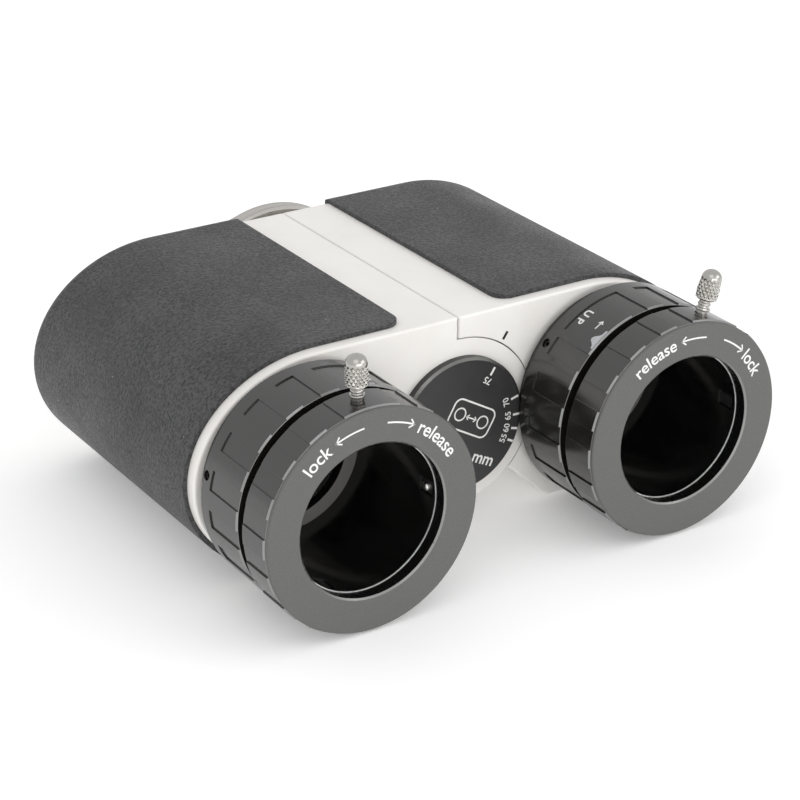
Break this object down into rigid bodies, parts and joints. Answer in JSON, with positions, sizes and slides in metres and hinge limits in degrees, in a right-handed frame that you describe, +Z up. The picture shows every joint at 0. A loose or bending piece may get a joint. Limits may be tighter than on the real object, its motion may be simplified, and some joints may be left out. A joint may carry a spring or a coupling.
{
  "type": "binocular telescope viewer",
  "caption": "Two hinged prism bodies that split one telescope beam to two eyepiece sockets with focus collars and locking rings.",
  "frame": {"origin": "on the hinge axis, which is also the telescope's optical axis, at the shoulder of the telescope ring", "axes": "+Y out of the telescope ring towards the telescope, +Z up through the top of the body, +X to the right seen from the eyepieces"},
  "size_m": [0.1246, 0.1108, 0.0573],
  "materials": {
    "white_paint": "fine satin white lacquer",
    "covering": "fine-grained charcoal leatherette",
    "black_anodised": "gloss black anodised",
    "grey_anodised": "bead-blasted dark grey anodised",
    "black_steel": "blackened",
    "bright_steel": "ground",
    "knurled_steel": "nickel-plated, diamond knurled",
    "dial_grey": "satin dark grey anodised",
    "silver": "clear anodised, turned",
    "black_cell": "matt black anodised",
    "bronze": "turned bearing bronze",
    "washer": "slippery fluoropolymer",
    "optical_glass": "polished, coated"
  },
  "bodies": {
    "left_half": {"left_housing": "white_paint", "left_back_cover": "white_paint", "left_cover_screws": "black_steel", "left_leather": "covering", "scale_dial": "dial_grey", "dial_nut": "bronze", "front_bearing": "bronze", "rear_bearing": "bronze", "friction_washer": "washer", "left_prism": "optical_glass", "splitter_wedge": "optical_glass", "compensator": "optical_glass", "left_prism_cell": "black_cell", "left_prism_clamp": "bright_steel", "left_clamp_screws": "bright_steel", "compensator_cell": "black_cell", "entrance_baffle": "black_cell", "telescope_ring": "silver", "left_eyepiece_base": "black_anodised", "left_base_screws": "black_steel", "left_guide_pin": "black_steel"},
    "right_half": {"right_housing": "white_paint", "right_back_cover": "white_paint", "right_cover_screws": "black_steel", "right_leather": "covering", "right_prism": "optical_glass", "right_prism_cell": "black_cell", "right_prism_clamp": "bright_steel", "right_clamp_screws": "bright_steel", "right_eyepiece_base": "black_anodised", "right_base_screws": "black_steel", "right_guide_pin": "black_steel"},
    "left_collar": {"left_focus_collar": "black_anodised", "left_grub_screws": "black_steel"},
    "left_sleeve": {"left_eyepiece_sleeve": "black_anodised", "left_retaining_clip": "bright_steel"},
    "left_lock": {"left_lock_ring": "black_anodised", "left_face_ring": "grey_anodised", "left_lever_screw": "knurled_steel"},
    "left_pad_1": {"left_clamp_pad_1": "bright_steel"},
    "left_pad_2": {"left_clamp_pad_2": "bright_steel"},
    "left_pad_3": {"left_clamp_pad_3": "bright_steel"},
    "right_collar": {"right_focus_collar": "black_anodised", "right_grub_screws": "black_steel"},
    "right_sleeve": {"right_eyepiece_sleeve": "black_anodised", "right_retaining_clip": "bright_steel"},
    "right_lock": {"right_lock_ring": "black_anodised", "right_face_ring": "grey_anodised", "right_lever_screw": "knurled_steel"},
    "right_pad_1": {"right_clamp_pad_1": "bright_steel"},
    "right_pad_2": {"right_clamp_pad_2": "bright_steel"},
    "right_pad_3": {"right_clamp_pad_3": "bright_steel"}
  },
  "joints": [
    {"name": "ipd_hinge", "type": "hinge", "parent": "left_half", "child": "right_half", "pos_m": [0, 0, 0], "axis": [0, 1, 0], "range_deg": [0, 85.7]},
    {"name": "left_focus_turn", "type": "hinge", "parent": "left_half", "child": "left_collar", "pos_m": [-0.0375, 0, 0], "axis": [0, 1, 0], "range_deg": [-45, 225]},
    {"name": "left_sleeve_slide", "type": "slide", "parent": "left_half", "child": "left_sleeve", "axis": [0, -1, 0], "range_m": [-0.001, 0.005]},
    {"name": "left_lock_turn", "type": "hinge", "parent": "left_sleeve", "child": "left_lock", "pos_m": [-0.0375, 0, 0], "axis": [0, -1, 0], "range_deg": [0, 40]},
    {"name": "left_pad_1_slide", "type": "slide", "parent": "left_sleeve", "child": "left_pad_1", "axis": [-0.9994, 0, -0.0349], "range_m": [0, 0.0003]},
    {"name": "left_pad_2_slide", "type": "slide", "parent": "left_sleeve", "child": "left_pad_2", "axis": [0.5299, 0, -0.848], "range_m": [0, 0.0003]},
    {"name": "left_pad_3_slide", "type": "slide", "parent": "left_sleeve", "child": "left_pad_3", "axis": [0.4695, 0, 0.8829], "range_m": [0, 0.0003]},
    {"name": "right_focus_turn", "type": "hinge", "parent": "right_half", "child": "right_collar", "pos_m": [0.0375, 0, 0], "axis": [0, 1, 0], "range_deg": [-45, 225]},
    {"name": "right_sleeve_slide", "type": "slide", "parent": "right_half", "child": "right_sleeve", "axis": [0, -1, 0], "range_m": [-0.001, 0.005]},
    {"name": "right_lock_turn", "type": "hinge", "parent": "right_sleeve", "child": "right_lock", "pos_m": [0.0375, 0, 0], "axis": [0, 1, 0], "range_deg": [0, 40]},
    {"name": "right_pad_1_slide", "type": "slide", "parent": "right_sleeve", "child": "right_pad_1", "axis": [-0.9994, 0, -0.0349], "range_m": [0, 0.0003]},
    {"name": "right_pad_2_slide", "type": "slide", "parent": "right_sleeve", "child": "right_pad_2", "axis": [0.5299, 0, -0.848], "range_m": [0, 0.0003]},
    {"name": "right_pad_3_slide", "type": "slide", "parent": "right_sleeve", "child": "right_pad_3", "axis": [0.4695, 0, 0.8829], "range_m": [0, 0.0003]}
  ],
  "couplings": [
    {"joint": "left_sleeve_slide", "follows": "left_focus_turn", "m_per_rad": 0.0012732},
    {"joint": "left_pad_1_slide", "follows": "left_lock_turn", "m_per_rad": 0.00042972},
    {"joint": "left_pad_2_slide", "follows": "left_lock_turn", "m_per_rad": 0.00042972},
    {"joint": "left_pad_3_slide", "follows": "left_lock_turn", "m_per_rad": 0.00042972},
    {"joint": "right_sleeve_slide", "follows": "right_focus_turn", "m_per_rad": 0.0012732},
    {"joint": "right_pad_1_slide", "follows": "right_lock_turn", "m_per_rad": 0.00042972},
    {"joint": "right_pad_2_slide", "follows": "right_lock_turn", "m_per_rad": 0.00042972},
    {"joint": "right_pad_3_slide", "follows": "right_lock_turn", "m_per_rad": 0.00042972}
  ]
}
